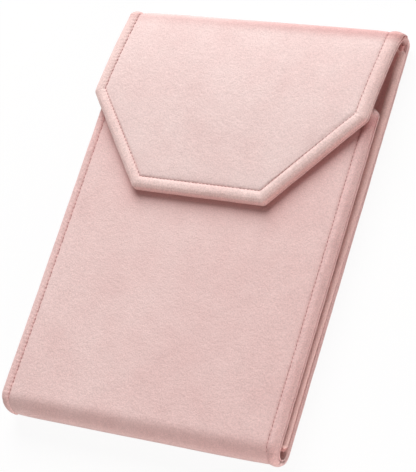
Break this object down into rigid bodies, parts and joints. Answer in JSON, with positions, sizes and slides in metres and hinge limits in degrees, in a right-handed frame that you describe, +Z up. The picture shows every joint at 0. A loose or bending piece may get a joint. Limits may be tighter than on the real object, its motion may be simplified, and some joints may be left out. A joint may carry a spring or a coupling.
{
  "type": "jewelry travel folder",
  "caption": "Slim velvet jewelry folder: padded front cover folded up over a back cover, closed by an angled six-sided flap, with an earring leaf, ring bar and pockets inside.",
  "frame": {"origin": "middle of the underside of the closed folder, which lies on its back cover", "axes": "+X across the width, +Y along the length from the bottom spine to the top spine, +Z up out of the front cover"},
  "size_m": [0.15, 0.2126, 0.0204],
  "materials": {
    "velvet": "short velvet nap",
    "binding": "velvet bias binding, stitched",
    "lining": "short velvet nap",
    "pad": "padded velvet",
    "elastic": "woven elastic",
    "foam": "plain foam",
    "board": "greyboard",
    "snap": "polished"
  },
  "bodies": {
    "back_cover": {"back_skin": "velvet", "back_board": "board", "back_lining": "lining", "back_binding_left": "binding", "back_binding_right": "binding", "inner_panel": "pad", "chain_pocket": "lining", "chain_pocket_hem": "elastic", "leaf_tape": "elastic", "ring_bar_anchor": "elastic", "ring_bar_stud": "snap"},
    "bottom_spine": {"bottom_spine_skin": "velvet", "bottom_spine_core": "foam", "bottom_spine_lining": "lining", "bottom_spine_binding_left": "binding", "bottom_spine_binding_right": "binding"},
    "front_cover": {"front_skin": "velvet", "front_foam": "foam", "front_board": "board", "front_lining": "lining", "front_binding": "binding", "front_slip_pocket": "lining", "front_snap_stud": "snap"},
    "top_spine": {"top_spine_skin": "velvet", "top_spine_core": "foam", "top_spine_lining": "lining", "top_spine_binding_left": "binding", "top_spine_binding_right": "binding"},
    "flap": {"flap_skin": "velvet", "flap_foam": "foam", "flap_board": "board", "flap_lining": "lining", "flap_binding": "binding", "flap_snap_socket": "snap"},
    "earring_leaf": {"leaf_panel": "velvet", "leaf_binding": "binding"},
    "ring_bar": {"ring_bar_roll": "velvet", "ring_bar_tab": "elastic", "ring_bar_socket": "snap"}
  },
  "joints": [
    {"name": "top_spine_fold", "type": "hinge", "parent": "back_cover", "child": "top_spine", "pos_m": [0, 0.1041, 0.0022], "axis": [-1, 0, 0], "range_deg": [0, 90]},
    {"name": "flap_fold", "type": "hinge", "parent": "top_spine", "child": "flap", "pos_m": [0, 0.1041, 0.0118], "axis": [-1, 0, 0], "range_deg": [0, 81]},
    {"name": "bottom_spine_fold", "type": "hinge", "parent": "back_cover", "child": "bottom_spine", "pos_m": [0, -0.1029, 0.0034], "axis": [1, 0, 0], "range_deg": [0, 18]},
    {"name": "front_fold", "type": "hinge", "parent": "bottom_spine", "child": "front_cover", "pos_m": [0, -0.1029, 0.01115], "axis": [1, 0, 0], "range_deg": [0, 18]},
    {"name": "leaf_fold", "type": "hinge", "parent": "back_cover", "child": "earring_leaf", "pos_m": [0, -0.0933, 0.0079], "axis": [1, 0, 0], "range_deg": [0, 18]},
    {"name": "ring_bar_fold", "type": "hinge", "parent": "back_cover", "child": "ring_bar", "pos_m": [-0.055, 0.0797, 0.0096], "axis": [0, -1, 0], "range_deg": [0, 18]}
  ],
  "couplings": [
    {"joint": "flap_fold", "follows": "top_spine_fold", "ratio": 0.9},
    {"joint": "bottom_spine_fold", "follows": "top_spine_fold", "ratio": 0.2},
    {"joint": "front_fold", "follows": "top_spine_fold", "ratio": 0.2},
    {"joint": "leaf_fold", "follows": "top_spine_fold", "ratio": 0.2},
    {"joint": "ring_bar_fold", "follows": "top_spine_fold", "ratio": 0.2}
  ]
}
